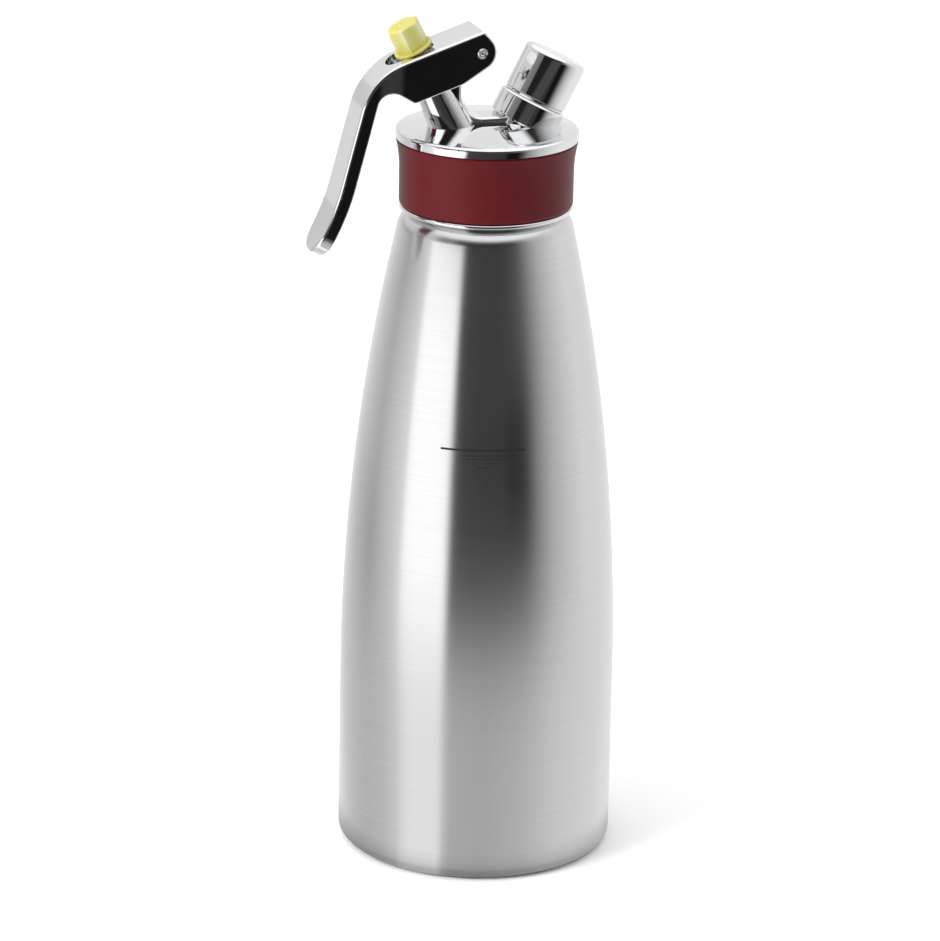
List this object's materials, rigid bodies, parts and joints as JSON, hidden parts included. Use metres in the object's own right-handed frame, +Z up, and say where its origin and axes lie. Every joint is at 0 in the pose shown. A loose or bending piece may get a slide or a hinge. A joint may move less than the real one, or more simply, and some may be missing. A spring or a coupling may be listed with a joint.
{
  "type": "whipped cream dispenser",
  "caption": "Tapered steel bottle under a domed screw-on head with a curved hand lever, a leaning dosing valve and a capped charger port.",
  "frame": {"origin": "centre of the bottle's foot, on the surface it stands on", "axes": "+Z up the bottle's axis, -X towards the lever's tip, +X towards the charger port"},
  "size_m": [0.1111, 0.096, 0.2976],
  "materials": {
    "bottle": "fine satin, brushed round the body",
    "head_casting": "polished",
    "head_band": "satin dark red silicone",
    "head_gasket": "matte",
    "lever": "polished",
    "lever_pin": "satin",
    "valve_stem": "fine turned",
    "valve_o_ring": "satin",
    "valve_seal_disc": "matte",
    "valve_seal_nut": "satin",
    "valve_spring": "drawn wire",
    "valve_guard_cap": "translucent pale yellow",
    "piercing_needle": "fine turned",
    "charger_seal": "matte",
    "check_valve_plug": "matte",
    "check_valve_spring": "drawn wire",
    "check_valve_retainer": "turned",
    "port_cap": "polished",
    "port_cap_ring": "polished",
    "port_cap_liner": "matte"
  },
  "bodies": {
    "bottle": {"bottle": "bottle"},
    "gasket": {"head_gasket": "head_gasket"},
    "head": {"head_casting": "head_casting", "head_band": "head_band", "lever_pin": "lever_pin", "valve_spring": "valve_spring", "piercing_needle": "piercing_needle", "charger_seal": "charger_seal", "check_valve_spring": "check_valve_spring", "check_valve_retainer": "check_valve_retainer"},
    "lever": {"lever": "lever"},
    "valve": {"valve_stem": "valve_stem", "valve_o_ring": "valve_o_ring", "valve_seal_disc": "valve_seal_disc", "valve_seal_nut": "valve_seal_nut"},
    "guard_cap": {"valve_guard_cap": "valve_guard_cap"},
    "cap_ring": {"port_cap_ring": "port_cap_ring"},
    "port_cap": {"port_cap": "port_cap", "port_cap_liner": "port_cap_liner"},
    "check_plug": {"check_valve_plug": "check_valve_plug"}
  },
  "joints": [
    {"name": "head_lift", "type": "slide", "parent": "bottle", "child": "gasket", "axis": [0, 0, 1], "range_m": [0, 0.012]},
    {"name": "head_turn", "type": "hinge", "parent": "gasket", "child": "head", "pos_m": [0, 0, 0.24], "axis": [0, 0, 1], "range_deg": [0, 1080]},
    {"name": "lever_press", "type": "hinge", "parent": "head", "child": "lever", "pos_m": [-0.00506, 0, 0.28564], "axis": [0, -1, 0], "range_deg": [0, 11], "stiffness_Nm_per_rad": 1, "springref_deg": -11.46},
    {"name": "valve_slide", "type": "slide", "parent": "head", "child": "valve", "axis": [0.454, 0, -0.891], "range_m": [0, 0.00319], "deforming": ["valve_spring"]},
    {"name": "guard_cap_pull", "type": "slide", "parent": "valve", "child": "guard_cap", "axis": [-0.454, 0, 0.891], "range_m": [0, 0.012]},
    {"name": "port_cap_lift", "type": "slide", "parent": "head", "child": "cap_ring", "axis": [0.454, 0, 0.891], "range_m": [0, 0.01]},
    {"name": "port_cap_turn", "type": "hinge", "parent": "cap_ring", "child": "port_cap", "pos_m": [0, 0, 0.2342], "axis": [0.454, 0, 0.891], "range_deg": [0, 1800]},
    {"name": "check_valve_open", "type": "slide", "parent": "head", "child": "check_plug", "axis": [-0.454, 0, -0.891], "range_m": [0, 0.0015], "stiffness_N_per_m": 200, "springref_m": -0.001, "deforming": ["check_valve_spring"]}
  ],
  "couplings": [
    {"joint": "head_lift", "follows": "head_turn", "m_per_rad": 0.00063662},
    {"joint": "valve_slide", "follows": "lever_press", "m_per_rad": 0.0166},
    {"joint": "port_cap_lift", "follows": "port_cap_turn", "m_per_rad": 0.00031831}
  ]
}
